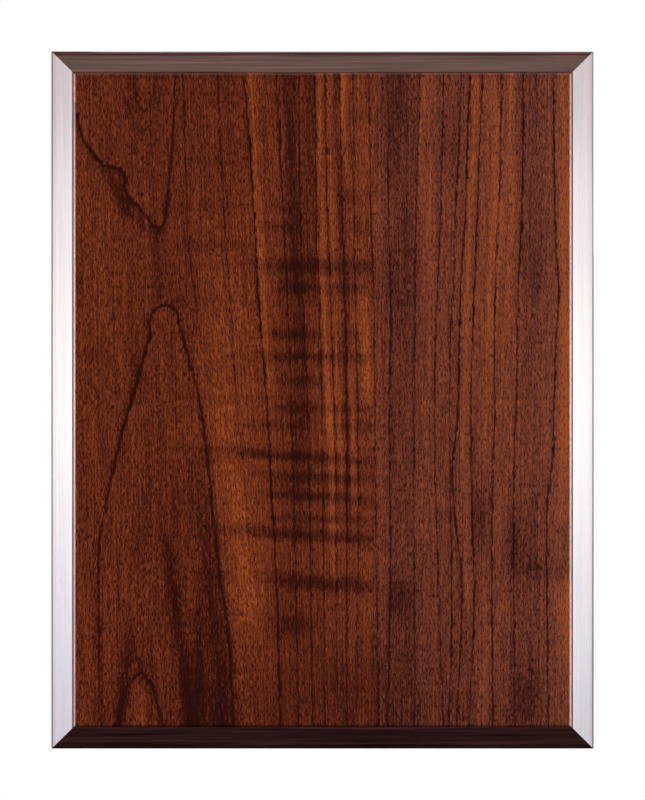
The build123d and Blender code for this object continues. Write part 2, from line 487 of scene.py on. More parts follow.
# The straight lines, in two groups so that those in one group stand well apart.
ODD = (
    GrowthLine(((35.6, -2), (36.6, 30), (37.8, 58), (41.4, 85), (44.6, 104)), (0.34, 0.32, 0.3, 0.2, 0)),
    GrowthLine(
        ((55.2, -2), (57.4, 22), (59.4, 55), (60.6, 78), (63, 107), (64.8, 140), (66.4, 170), (67.4, 216)),
        (0.8, 0.9, 0.85, 0.9, 0.85, 0.85, 0.75, 0.7),
    ),
    GrowthLine(((73.4, -2), (74.2, 60), (76.6, 120), (78, 216)), (0.5, 0.5, 0.4, 0.3)),
    GrowthLine(((82, -2), (82.6, 40), (84.4, 90), (85.6, 140), (85.6, 216)), (0.6, 0.5, 0.5, 0.4, 0.2)),
    GrowthLine(((91, -2), (91.6, 60), (92.8, 130), (92.2, 216)), (0.4, 0.4, 0.45, 0.25)),
    GrowthLine(
        ((102.4, 30), (103.4, 76), (103, 103), (103, 129), (103.4, 161), (102.2, 216)),
        (0.3, 0.6, 0.6, 0.6, 0.7, 0.6),
    ),
    GrowthLine(
        ((120.6, -2), (119.6, 47), (117.6, 100), (118.4, 150), (120.6, 216)),
        (0.5, 0.5, 0.4, 0.5, 0.5),
    ),
    GrowthLine(
        (
            (129.3, -2), (128.4, 22), (127.6, 47), (126.3, 67), (125.6, 90), (125.1, 112), (123.5, 129),
            (124.3, 145), (126.2, 161), (126.4, 180), (124.6, 216),
        ),
        (0.7, 0.75, 0.7, 0.7, 0.75, 0.7, 0.6, 0.7, 0.7, 0.65, 0.5),
    ),
    GrowthLine(
        ((146.5, -2), (146.5, 22), (146.1, 47), (144.8, 72), (144.5, 96), (143.4, 140), (143.8, 216)),
        (0.8, 0.85, 0.8, 0.65, 0.5, 0.6, 0.4),
    ),
)
EVEN = (
    GrowthLine(((46.8, -2), (48.2, 30), (50.4, 66), (53.4, 108), (57.8, 155)), (0.36, 0.36, 0.36, 0.3, 0)),
    GrowthLine(((66, -2), (67.6, 31), (70.4, 90), (73.6, 216)), (0.5, 0.5, 0.35, 0.4)),
    GrowthLine(((78.6, -2), (79.2, 50), (80.8, 100), (82, 216)), (0.6, 0.6, 0.4, 0.3)),
    GrowthLine(((86.6, -2), (88, 60), (89, 110), (89.2, 216)), (0.5, 0.5, 0.6, 0.2)),
    GrowthLine(((96.2, -2), (96.9, 47), (97.8, 74), (98.4, 130), (99.4, 216)), (0.5, 0.5, 0.3, 0.4, 0.5)),
    GrowthLine(((113, -2), (111.4, 60), (111, 120), (111, 216)), (0.5, 0.45, 0.4, 0.4)),
    GrowthLine(
        (
            (126.4, -2), (125.2, 31), (124.2, 50), (123.9, 68), (122.7, 91), (122.8, 140), (123.3, 177),
            (122.1, 216),
        ),
        (0.5, 0.55, 0.5, 0.5, 0.5, 0.5, 0.55, 0.5),
    ),
    GrowthLine(
        (
            (133.5, -2), (132.8, 15), (132, 32), (131.4, 52), (130.1, 83), (129.5, 113), (129.8, 140),
            (130.5, 176), (128.7, 216),
        ),
        (0.6, 0.65, 0.7, 0.8, 0.75, 0.7, 0.7, 0.6, 0.4),
    ),
    GrowthLine(
        (
            (139.5, -2), (139.1, 31), (138.3, 47), (137.4, 72), (137.1, 96), (137.4, 112), (136.6, 129),
            (136.3, 161), (136.6, 216),
        ),
        (0.7, 0.75, 0.7, 0.8, 0.7, 0.65, 0.7, 0.6, 0.5),
    ),
    GrowthLine(
        (
            (156.3, -2), (156.6, 31), (157.1, 55), (158, 72), (156.8, 96), (156.3, 121), (154.7, 137),
            (154.2, 153), (154.8, 216),
        ),
        (0.8, 0.8, 0.75, 0.85, 0.75, 0.7, 0.75, 0.7, 0.6),
    ),
)
LINE_GROUPS = (
    LineGroup("crack", width=0.86, stroke=0.85, reach=2.6, tail=0.26, lines=CRACK),
    LineGroup("arch", width=0.82, stroke=0.85, reach=2.6, tail=0.22, lines=ARCH),
    LineGroup("odd", width=0.52, stroke=0.95, reach=2.4, tail=0.08, lines=ODD),
    LineGroup("even", width=0.52, stroke=0.95, reach=2.4, tail=0.08, lines=EVEN),
)
# Dark and light bands beside the lines.
BANDS = (
    SoftBand(
        ((10.5, 32.5), (13.6, 36), (15.6, 42), (19, 46.5), (24, 51)),
        (0.1, 0.26, 0.24, 0.22, 0.1),
        1.8,
    ),
    SoftBand(((28, 52), (27.6, 62), (28.2, 72)), (0.12, 0.16, 0.2), 1.6),
    SoftBand(
        ((70.4, -2), (70.6, 14), (71.8, 47), (73.1, 72), (74.2, 96), (73.7, 112), (73.4, 129), (73.7, 153)),
        (0.24, 0.26, 0.28, 0.22, 0.15, 0.14, 0.12, 0.05),
        2.3,
    ),
    SoftBand(((76.7, -2), (76.7, 14), (77, 47), (77.5, 63), (78, 80)), (0.2, 0.2, 0.2, 0.16, 0), 1.6),
    SoftBand(
        ((85.7, -2), (86, 18), (87.2, 47), (88.6, 67), (89, 90), (89.2, 116), (89.7, 152)),
        (0.18, 0.2, 0.2, 0.2, 0.18, 0.2, 0.18),
        0.8,
    ),
    SoftBand(
        ((105.4, -2), (105.4, 27), (107.9, 47), (108.2, 76), (106.2, 103), (106, 150), (107, 216)),
        (0.12, 0.12, 0.13, 0.14, 0.09, 0.07, 0.07),
        4.5,
    ),
    SoftBand(((149.8, -2), (149.4, 100), (148, 216)), (0.12, 0.09, 0.09), 4.5),
    SoftBand(((134.6, 165), (134.2, 190), (132.8, 216)), (-0.04, -0.12, -0.14), 1.8),
    SoftBand(
        ((38.5, 122), (41, 138), (44, 155), (46.3, 174.5), (48, 194), (48.5, 216)),
        (0, 0.16, 0.24, 0.28, 0.3, 0.32),
        3.3,
    ),
    SoftBand(((41.5, 165), (41, 185), (40.5, 216)), (0.05, 0.24, 0.34), 3.2),
    SoftBand(
        ((28.2, 146), (30.7, 155), (32.7, 168), (34.3, 183), (36, 194), (38, 216)),
        (0, 0.18, 0.26, 0.26, 0.28, 0.32),
        1.9,
    ),
    SoftBand(((23, 138), (22, 152), (20, 168)), (0.06, 0.12, 0), 2.6),
    SoftBand(((19.2, 176), (18.4, 186), (16.2, 199), (14.6, 216)), (0, 0.12, 0.22, 0.24), 1.7),
    SoftBand(
        ((57.8, -2), (59, 22), (60.3, 52), (61.9, 72), (63.5, 96), (64.9, 120)),
        (-0.24, -0.24, -0.22, -0.2, -0.18, -0.06),
        1.4,
    ),
    SoftBand(
        ((79.8, -2), (80.1, 16), (80.8, 36), (81.4, 58), (82.4, 76)),
        (-0.24, -0.24, -0.2, -0.16, 0),
        0.7,
    ),
    SoftBand(
        ((83.2, -2), (83.4, 22), (84.1, 47), (84.6, 63), (85.4, 80)),
        (-0.16, -0.24, -0.24, -0.18, 0),
        0.6,
    ),
    SoftBand(
        ((80, 52), (81.3, 71), (82.4, 90), (83.3, 112), (84.5, 134), (84.9, 165)),
        (0, -0.24, -0.3, -0.34, -0.26, -0.12),
        0.9,
    ),
    SoftBand(
        ((84.5, 64), (85.7, 96), (86.5, 112), (87.4, 129), (88, 148)),
        (0, -0.26, -0.28, -0.24, 0),
        0.6,
    ),
    SoftBand(((87.8, -2), (87.8, 14), (88.5, 22), (90, 38)), (-0.3, -0.3, -0.14, 0), 0.9),
    SoftBand(
        ((89.6, 84), (90.1, 104), (91, 112), (91.5, 134), (91.8, 150)),
        (0, -0.22, -0.26, -0.26, 0),
        0.7,
    ),
    SoftBand(((93.6, 66), (94.8, 84), (96, 100), (96.8, 116)), (0, -0.24, -0.24, 0), 2),
    SoftBand(
        ((45.8, 66), (48, 90), (50.5, 115), (52.5, 132), (55, 155), (57, 172), (58, 186)),
        (-0.04, -0.06, -0.05, -0.08, -0.09, -0.09, 0),
        3.2,
    ),
    SoftBand(
        ((115.5, -2), (115.5, 50), (116.5, 80), (117, 110), (115, 145)),
        (-0.06, -0.07, -0.04, -0.03, 0),
        2.2,
    ),
    SoftBand(
        ((131.3, -2), (130.5, 22), (129, 50), (127.6, 100), (128, 170)),
        (-0.2, -0.18, -0.14, -0.14, -0.1),
        1.1,
    ),
    SoftBand(
        ((136, -2), (137.6, 15), (138, 34), (137, 55), (135.8, 80), (134.6, 105), (133, 135)),
        (-0.12, -0.17, -0.16, -0.17, -0.16, -0.07, 0),
        2,
    ),
    SoftBand(
        ((158.8, -2), (159.6, 20), (160.2, 65), (160.2, 100), (159.5, 145)),
        (-0.14, -0.18, -0.2, -0.22, -0.16),
        1.7,
    ),
    SoftBand(((162, 158), (160.5, 172), (161, 190), (162, 216)), (-0.06, -0.19, -0.13, -0.06), 2.4),
    SoftBand(((142.4, -2), (142.6, 40), (142, 90)), (-0.14, -0.12, 0), 1.1),
    SoftBand(((113.6, -2), (112.9, 40), (112.6, 60)), (-0.16, -0.12, 0), 0.8),
    SoftBand(((23.5, 172), (27.5, 190), (31, 208)), (0, -0.1, -0.07), 1.4),
    SoftBand(((36.5, 150), (38.5, 172), (38.8, 190)), (0, -0.07, 0), 1.3),
)
# Level bars that curly fibres throw across the left leaf.
CURLY_BARS = (
    SoftPatch(66, 50.2, 9.2, 1.8, 0.16),
    SoftPatch(50, 55.8, 18.4, 1.6, 0.13),
    SoftPatch(80, 63, 20.7, 2.3, 0.34, 0.02),
    SoftPatch(73, 69.9, 8, 2.2, 0.3),
    SoftPatch(89, 70.4, 6.3, 2.9, 0.24),
    SoftPatch(50, 74.4, 18.4, 1.4, 0.1),
    SoftPatch(72, 85.1, 9.8, 2, 0.32),
    SoftPatch(90, 85.6, 5.2, 2.4, 0.14),
    SoftPatch(77, 92.5, 20.7, 1.8, 0.3, 0.01),
    SoftPatch(74, 100.2, 9.8, 1.7, 0.2),
    SoftPatch(73, 109.2, 9.2, 1.8, 0.26),
    SoftPatch(92.5, 109.6, 9.2, 1.8, 0.24),
    SoftPatch(68, 114.9, 12.6, 1.7, 0.18),
    SoftPatch(92, 115.2, 6.9, 2.3, 0.24),
    SoftPatch(72, 124.9, 29.9, 1.8, 0.36, 0.075),
    SoftPatch(82, 132, 19.5, 1.8, 0.34, 0.02),
    SoftPatch(81, 138.2, 19.5, 1.9, 0.34, 0.08),
    SoftPatch(83, 145.2, 17.2, 1.4, 0.24, 0.03),
    SoftPatch(76, 150.6, 28.7, 1.8, 0.36, 0.075),
    SoftPatch(82, 166.2, 19.5, 2.3, 0.4, 0.07),
    SoftPatch(71, 180, 5.8, 2.6, 0.16),
    SoftPatch(94, 14.4, 4.6, 1.7, 0.14),
    SoftPatch(87, 24.2, 5.8, 1.4, 0.14),
    SoftPatch(90, 41.3, 4.6, 2.2, 0.16),
    SoftPatch(94, 51, 4.6, 2.2, 0.18),
    SoftPatch(50, 29, 18.4, 1.4, 0.07),
    SoftPatch(52, 43.8, 19.5, 1.4, 0.09),
    SoftPatch(5, 92, 5.2, 1.8, 0.14),
    SoftPatch(43, 126.5, 5.8, 1.6, 0.12),
    SoftPatch(54, 96, 13.8, 1.7, 0.07),
    SoftPatch(56, 106, 13.8, 1.7, 0.07),
)
# Patches of deeper stain and of paler wood; one band is painted shade along the face's top edge,
# and a broad one makes the face darker towards its bottom edge.
STAINS_AND_PAINTED_SHADE = (
    SoftPatch(20.5, 193, 4, 3, 0.14),
    SoftPatch(24.5, 134, 2.4, 8, 0.1),
    SoftPatch(21.5, 99, 2.6, 6, 0.1),
    SoftPatch(8, 150, 12, 60, 0.05),
    SoftPatch(32, 175, 9, 36, 0.08),
    SoftPatch(21.5, 207, 2.6, 9, -0.14),
    SoftPatch(62.5, 56, 4, 16, -0.06),
    SoftPatch(131.7, 145, 2.8, 10, 0.22),
    SoftPatch(143.2, 152, 2.4, 13, 0.2),
    SoftPatch(146.5, 153, 5.5, 13, 0.12),
    SoftPatch(154, 161.5, 11, 3.8, 0.17),
    SoftPatch(147.5, 201, 5.5, 9, 0.2),
    SoftPatch(107, 171, 4.5, 7, 0.25),
    SoftPatch(71, 180, 7, 5, 0.12),
    SoftPatch(93, 203, 8, 14, 0.08),
    SoftPatch(74, 203, 12, 16, 0.08),
    SoftPatch(123.5, 20, 3.5, 14, 0.12),
    SoftPatch(108, 200, 8, 20, 0.08),
    SoftPatch(149.5, 60, 4.5, 18, 0.14),
    SoftPatch(105.5, 68, 6, 14, 0.14),
    SoftPatch(106, 8, 7, 18, 0.12),
    SoftPatch(29, 100, 13, 200, 0.08),
    SoftPatch(51, 12, 14, 34, 0.1),
    SoftPatch(50, 202, 12, 22, 0.03),
    SoftPatch(58, 168, 7.5, 24, -0.08),
    SoftPatch(19, 18, 12, 22, 0.07),
    SoftPatch(71.5, 125, 7.5, 52, 0.07),
    SoftPatch(95, 18, 3.6, 26, -0.1),
    SoftPatch(52, 116, 10, 44, -0.11),
    SoftPatch(74, 178, 12, 14, 0.06),
    SoftPatch(89, 202, 10, 18, 0.06),
    # Painted shade: darkens the face's top 1.6 mm, where the top moulding shades it.
    SoftPatch(81, 0, 120, 1.6, 0.14),
    SoftPatch(90, 100, 12, 90, -0.06),
    SoftPatch(133, 45, 16, 80, -0.08),
    SoftPatch(153, 95, 16, 110, -0.11),
    SoftPatch(112, 50, 9, 50, -0.05),
    SoftPatch(6, 100, 14, 200, 0.03),
    # Darker towards the face's bottom edge.
    SoftPatch(80, 212, 90, 22, 0.11),
)


# ---------------------------------------------------------------------------- finishes


@dataclass(frozen=True)
class StreakSize:
    """One size of the streaks that fibres leave in the wood.

    Attributes:
        cell: A streak's width and length in millimetres.
        depth: How strongly it darkens and lightens the wood.
        detail: How much finer noise lies in it.
    """

    cell: Pair
    depth: float
    detail: float


@dataclass(frozen=True)
class FiguredCherry:
    """Sliced cherry veneer, stained red-brown and sprayed with satin lacquer.

    The stain sinks into the pores, so short dark flecks run up the grain, growth lines are near black,
    and curly fibres throw soft level bars across the middle. The pores are drawn as coarse as they need
    to show.

    Attributes:
        shades: The wood's colours from its palest to its deepest.
        streaks: The sizes of streak, widest first.
        fleck_cell: A pore's width and length in millimetres.
        fleck_noise: The noise at which a pore starts and at which it is full.
        fleck_depth: The darkness outside a pore and in a full one.
        wobble_cell: Width and height of the unevenness that keeps growth lines from being ruled.
        wobble_shift: How far a wobble of 1 moves a line, in millimetres.
        wobble_swell: How far a wobble of 1 widens a line to each side, in millimetres.
        patch_cell: Width and height of the patches that break up growth lines.
        patch_noise: The noise at which a line is weakest and at which it is strongest.
        patch_ink: The ink's strength at those two.
        dull_tint_and_sheen: What turns the orange wood of the right leaf duller and more purple. It is
            partly the leaf's own colour and partly painted sheen, standing in for the right lamp's haze.
        dull_and_sheen_stops: The tint's share from the face's left edge, at 0, to its right edge, at 1.
            It jumps where the two leaves of veneer meet.
        dull_and_sheen_shades: The darkness at which the tint starts and at which it is full.
        relief: The open pores' strength as bumps and their depth in metres.
    """

    shades: tuple[tuple[float, str], ...] = (
        (0.0, "#b75820"), (0.28, "#8d401a"), (0.50, "#752f14"), (0.76, "#501907"), (1.0, "#2f0a03"),
    )
    streaks: tuple[StreakSize, ...] = (
        StreakSize(cell=(2.4, 60.0), depth=0.12, detail=3.0),
        StreakSize(cell=(0.7, 24.0), depth=0.28, detail=2.0),
        StreakSize(cell=(0.5, 5.0), depth=0.24, detail=1.0),
        StreakSize(cell=(0.27, 1.9), depth=0.46, detail=1.0),
    )
    fleck_cell: Pair = (0.28, 1.5)
    fleck_noise: Pair = (0.50, 0.74)
    fleck_depth: Pair = (-0.05, 0.56)
    wobble_cell: Pair = (1.1, 3.4)
    wobble_shift: float = 1.5
    wobble_swell: float = 0.9
    patch_cell: Pair = (5.0, 11.0)
    patch_noise: Pair = (0.34, 0.62)
    patch_ink: Pair = (0.45, 1.15)
    # Partly painted sheen: the right leaf's tint also stands in for the right lamp's haze.
    dull_tint_and_sheen: Colour = (1.03, 1.54, 3.6, 1.0)
    dull_and_sheen_stops: tuple[Pair, ...] = (
        (0.0, 0.0), (0.40, 0.0), (0.60, 0.16), (0.615, 0.66), (0.86, 0.72), (0.95, 1.0),
    )
    dull_and_sheen_shades: Pair = (0.05, 0.50)
    relief: Pair = (0.12, 0.00006)

    def material(self, half_width: float) -> Material:
        """Build the veneer's material.

        Args:
            half_width: Half the face's width in millimetres.

        Returns:
            A material that reads the face's grain attributes.
        """
        material, tree = new_material("figured_cherry_veneer_satin_lacquer")
        place = add_node(tree, "SeparateXYZ", links={0: millimetres(tree)})
        across, height = place.outputs["X"], place.outputs["Z"]
        grain = add_node(tree, "Attribute", {"attribute_name": "grain"}).outputs["Fac"]
        shade = add_node(tree, "Attribute", {"attribute_name": "tone"}).outputs["Fac"]
        for size in self.streaks:
            shade = self.add_streaks(tree, shade, grain, height, size)
        shade = self.add_flecks(tree, shade, grain, height)
        wobble, strength = self.unevenness(tree, across, height)
        for group in LINE_GROUPS:
            shade = self.add_lines(tree, shade, group, wobble, strength)
        look = {
            "Base Color": self.stained(tree, shade, across, half_width),
            "Roughness": 0.50,
            "IOR": 1.5,
            "Specular IOR Level": 0.10,
            "Coat Weight": 0.8,
            "Coat Roughness": 0.12,
        }
        lay_surface(tree, shade, self.relief, look, sunken=True)
        return material

    def add_streaks(
        self, tree: Tree, shade: Socket, grain: Socket, height: Socket, size: StreakSize
    ) -> Socket:
        """Darken and lighten the wood in long streaks.

        Args:
            tree: The material's tree.
            shade: Darkness so far.
            grain: Millimetres across the grain.
            height: Millimetres up the face.
            size: The streaks' size and strength.

        Returns:
            Darkness with the streaks.
        """
        noise = drawn_out_noise(tree, grain, height, size.cell, size.detail)
        centred = add_node(tree, "Math", {"operation": "SUBTRACT"}, {0: noise, 1: 0.5}).outputs[0]
        inputs = {0: centred, 1: 2 * size.depth, 2: shade}
        return add_node(tree, "Math", {"operation": "MULTIPLY_ADD"}, inputs).outputs[0]

    def add_flecks(self, tree: Tree, shade: Socket, grain: Socket, height: Socket) -> Socket:
        """Add the short dark pores that run up the grain.

        Args:
            tree: The material's tree.
            shade: Darkness so far.
            grain: Millimetres across the grain.
            height: Millimetres up the face.

        Returns:
            Darkness with the pores.
        """
        inputs = {
            "Value": drawn_out_noise(tree, grain, height, self.fleck_cell, detail=2.0),
            "From Min": self.fleck_noise[0],
            "From Max": self.fleck_noise[1],
            "To Min": self.fleck_depth[0],
            "To Max": self.fleck_depth[1],
        }
        pores = add_node(tree, "MapRange", links=inputs).outputs[0]
        return add_node(tree, "Math", {"operation": "ADD"}, {0: shade, 1: pores}).outputs[0]

    def unevenness(self, tree: Tree, across: Socket, height: Socket) -> tuple[Socket, Socket]:
        """Make what keeps the growth lines from being ruled.

        Args:
            tree: The material's tree.
            across: Millimetres across the face.
            height: Millimetres up the face.

        Returns:
            A wobble about 0, and a strength that rises and falls along the lines.
        """
        noise = drawn_out_noise(tree, across, height, self.wobble_cell, detail=3.0)
        wobble = add_node(tree, "Math", {"operation": "SUBTRACT"}, {0: noise, 1: 0.5}).outputs[0]
        patches = drawn_out_noise(tree, across, height, self.patch_cell, detail=3.0, roughness=0.7)
        inputs = {
            "Value": patches,
            "From Min": self.patch_noise[0],
            "From Max": self.patch_noise[1],
            "To Min": self.patch_ink[0],
            "To Max": self.patch_ink[1],
        }
        return wobble, add_node(tree, "MapRange", links=inputs).outputs[0]

    def add_lines(
        self, tree: Tree, shade: Socket, group: LineGroup, wobble: Socket, strength: Socket
    ) -> Socket:
        """Ink a group of growth lines: hard on one side, fading into the wood on the other.

        Args:
            tree: The material's tree.
            shade: Darkness so far.
            group: The lines and how they are inked.
            wobble: Unevenness about 0.
            strength: The ink's strength along the lines.

        Returns:
            Darkness with the lines.
        """
        away = add_node(tree, "Attribute", {"attribute_name": f"{group.name}_away"}).outputs["Fac"]
        drawn = add_node(tree, "Attribute", {"attribute_name": f"{group.name}_ink"}).outputs["Fac"]
        ink = add_node(tree, "Math", {"operation": "MULTIPLY"}, {0: drawn, 1: strength}).outputs[0]
        moved = add_node(
            tree, "Math", {"operation": "MULTIPLY_ADD"}, {0: wobble, 1: self.wobble_shift, 2: away}
        ).outputs[0]
        width = add_node(
            tree, "Math", {"operation": "MULTIPLY_ADD"}, {0: wobble, 1: self.wobble_swell, 2: group.width}
        ).outputs[0]
        gap = add_node(tree, "Math", {"operation": "ABSOLUTE"}, {0: moved}).outputs[0]
        fades = []
        for place, start, depth in ((gap, width, group.stroke), (moved, group.reach, group.tail)):
            inputs = {"Value": place, "From Min": start, "From Max": 0.0, "To Min": 0.0, "To Max": depth}
            fade = add_node(tree, "MapRange", {"interpolation_type": "SMOOTHSTEP"}, inputs)
            fades.append(fade.outputs[0])
        stroke, tail = fades
        beside = add_node(tree, "Math", {"operation": "GREATER_THAN"}, {0: moved, 1: 0.0}).outputs[0]
        half = add_node(tree, "Math", {"operation": "MULTIPLY"}, {0: tail, 1: beside}).outputs[0]
        both = add_node(tree, "Math", {"operation": "ADD"}, {0: stroke, 1: half}).outputs[0]
        inputs = {0: both, 1: ink, 2: shade}
        return add_node(tree, "Math", {"operation": "MULTIPLY_ADD"}, inputs).outputs[0]

    def stained(self, tree: Tree, shade: Socket, across: Socket, half_width: float) -> Socket:
        """Turn darkness into the stained wood's colour.

        Args:
            tree: The material's tree.
            shade: The wood's darkness.
            across: Millimetres from the face's middle to the right.
            half_width: Half the face's width in millimetres.

        Returns:
            The colour, with the right leaf's dull tint, which is partly painted sheen.
        """
        colour = add_node(tree, "ValToRGB", links={"Fac": shade})
        fill_ramp(colour, self.shades)
        # Painted sheen, in part: the dull tint grows towards the right edge in place of the right lamp's
        # haze on the lacquer.
        inputs = {"Value": across, "From Min": -half_width, "From Max": half_width}
        leaf = add_node(tree, "MapRange", links=inputs).outputs[0]
        dullness_and_sheen = add_node(tree, "ValToRGB", links={"Fac": leaf})
        fill_ramp(dullness_and_sheen, self.dull_and_sheen_stops)
        inputs = {"Value": shade, "From Min": self.dull_and_sheen_shades[0], "From Max": self.dull_and_sheen_shades[1]}
        depth = add_node(tree, "MapRange", links=inputs).outputs[0]
        inputs = {0: dullness_and_sheen.outputs[0], 1: depth}
        share = add_node(tree, "Math", {"operation": "MULTIPLY"}, inputs).outputs[0]
        inputs = {"Factor": share, "A": colour.outputs[0], "B": self.dull_tint_and_sheen}
        tint = add_node(tree, "Mix", {"data_type": "RGBA", "blend_type": "MULTIPLY"}, inputs)
        return tint.outputs["Result"]


@dataclass(frozen=True)
class LacqueredWalnut:
    """Stained walnut moulding under a sprayed gloss lacquer.

    The lacquer mirrors the lamps on the slopes; the stain leaves dark streaks along each strip.

    Attributes:
        run: Which way the strip runs.
        shades: The colours of the streaks, dark to light.
        streak_width: A streak's width in millimetres.
        streak_length: A streak's length in millimetres.
        cells: How many cells of noise fall in one streak.
        relief: The grain's strength as bumps and its depth in metres.
    """

    run: GrainRun
    shades: tuple[tuple[float, str], ...] = ((0.30, "#2b1712"), (0.52, "#4f2d25"), (0.74, "#6d4236"))
    streak_width: float = 0.55
    streak_length: float = 22.0
    cells: float = 0.6
    relief: Pair = (0.10, 0.00004)

    def material(self) -> Material:
        """Build the moulding's material, with its grain along the strip.

        Returns:
            The lacquered walnut material.
        """
        material, tree = new_material(f"stained_walnut_gloss_lacquer_{self.run.value}")
        along, deep = ("Z", "X") if self.run is GrainRun.UPRIGHT else ("X", "Z")
        place = add_node(tree, "SeparateXYZ", links={0: millimetres(tree)})
        sizes = {deep: self.streak_width, along: self.streak_length, "Y": self.streak_width}
        parts = {}
        for count, (axis, size) in enumerate(sizes.items()):
            inputs = {0: place.outputs[axis], 1: size}
            parts[count] = add_node(tree, "Math", {"operation": "DIVIDE"}, inputs).outputs[0]
        spot = add_node(tree, "CombineXYZ", links=parts).outputs[0]
        inputs = {"Vector": spot, "Scale": self.cells, "Detail": 4.0, "Roughness": 0.6}
        streaks = add_node(tree, "TexNoise", links=inputs).outputs[0]
        colour = add_node(tree, "ValToRGB", links={"Fac": streaks})
        fill_ramp(colour, self.shades)
        look = {
            "Base Color": colour.outputs[0],
            "Roughness": 0.30,
            "IOR": 1.5,
            "Coat Weight": 1.0,
            "Coat Roughness": 0.10,
        }
        lay_surface(tree, streaks, self.relief, look)
        return material


@dataclass(frozen=True)
class SteelFinish:
    """Pressed or drawn steel with a thin plating: fine rolling marks and a soft cloudy sheen.

    Attributes:
        name: The real metal's name.
        shades: The colours of the sheen, dark to light.
        roughness: How rough the sheen's shiniest places are.
        cloud_size: The clouds' size in millimetres.
        dulling: How much rougher its dullest places are.
        rolling: Rolling marks in each millimetre along X, Y and Z.
        relief: The rolling marks' strength as bumps and their depth in metres.
    """

    name: str
    shades: tuple[tuple[float, str], ...]
    roughness: float
    cloud_size: float = 5.0
    dulling: float = 0.14
    rolling: tuple[float, float, float] = (7.0, 7.0, 0.5)
    relief: Pair = (0.25, 0.00003)

    def material(self) -> Material:
        """Build the plated steel's material.

        Returns:
            The metal material.
        """
        material, tree = new_material(self.name)
        place = millimetres(tree)
        inputs = {"Vector": place, "Scale": 1 / self.cloud_size, "Detail": 5.0, "Roughness": 0.65}
        clouds = add_node(tree, "TexNoise", links=inputs).outputs[0]
        colour = add_node(tree, "ValToRGB", links={"Fac": clouds})
        fill_ramp(colour, self.shades)
        inputs = {
            "Value": clouds,
            "From Min": 0.3,
            "From Max": 0.7,
            "To Min": self.roughness,
            "To Max": self.roughness + self.dulling,
        }
        rough = add_node(tree, "MapRange", links=inputs).outputs[0]
        marks = add_node(tree, "Mapping", links={"Vector": place, "Scale": self.rolling}).outputs[0]
        inputs = {"Vector": marks, "Scale": 1.0, "Detail": 2.0}
        rolled = add_node(tree, "TexNoise", links=inputs).outputs[0]
        look = {"Base Color": colour.outputs[0], "Metallic": 1.0, "Roughness": rough}
        lay_surface(tree, rolled, self.relief, look)
        return material


@dataclass(frozen=True)
class BackingPaper:
    """Dark brown kraft paper glued over the back: matt, with a faint fibre mottle.

    Attributes:
        shades: The colours of the mottle, dark to light.
        mottles: Mottles in each millimetre.
        fibres: Fibres in each millimetre.
        fibre_share: The fibres' share of the mottle.
        relief: The fibres' strength as bumps and their height in metres.
    """

    shades: tuple[tuple[float, str], ...] = ((0.38, "#2b211c"), (0.64, "#473830"))
    mottles: float = 0.09
    fibres: float = 1.3
    fibre_share: float = 0.55
    relief: Pair = (0.4, 0.00005)

    def material(self) -> Material:
        """Build the paper's material.

        Returns:
            The kraft paper material.
        """
        material, tree = new_material("kraft_backing_paper_matt")
        place = millimetres(tree)
        inputs = {"Vector": place, "Scale": self.mottles, "Detail": 8.0, "Roughness": 0.7}
        mottle = add_node(tree, "TexNoise", links=inputs).outputs[0]
        inputs = {"Vector": place, "Scale": self.fibres, "Detail": 4.0, "Roughness": 0.7}
        inputs["Distortion"] = 1.6
        fibres = add_node(tree, "TexNoise", links=inputs).outputs[0]
        inputs = {"Factor": self.fibre_share, "A": mottle, "B": fibres}
        mixed = add_node(tree, "Mix", {"data_type": "FLOAT"}, inputs).outputs["Result"]
        colour = add_node(tree, "ValToRGB", links={"Fac": mixed})
        fill_ramp(colour, self.shades)
        look = {"Base Color": colour.outputs[0], "Roughness": 0.86, "IOR": 1.45}
        lay_surface(tree, fibres, self.relief, look)
        return material


@dataclass(frozen=True)
class RawFibreboard:
    """Pressed wood fibre, raw where it has been routed: pale tan with fine specks and fuzz.

    Attributes:
        shades: The colours of the specks, dark to light.
        fibres: Fibres in each millimetre.
        relief: The fuzz's strength as bumps and its height in metres.
    """

    shades: tuple[tuple[float, str], ...] = ((0.36, "#8d6a48"), (0.66, "#b8946b"))
    fibres: float = 2.2
    relief: Pair = (0.6, 0.00012)

    def material(self) -> Material:
        """Build the fibreboard's material.

        Returns:
            The raw fibreboard material.
        """
        material, tree = new_material("raw_fibreboard_routed")
        inputs = {"Scale": self.fibres, "Detail": 5.0, "Roughness": 0.75, "Distortion": 0.8}
        fibres = add_node(tree, "TexNoise", links={"Vector": millimetres(tree), **inputs}).outputs[0]
        colour = add_node(tree, "ValToRGB", links={"Fac": fibres})
        fill_ramp(colour, self.shades)
        look = {"Base Color": colour.outputs[0], "Roughness": 0.93, "IOR": 1.45}
        lay_surface(tree, fibres, self.relief, look)
        return material


# ---------------------------------------------------------------------------- sub-assemblies


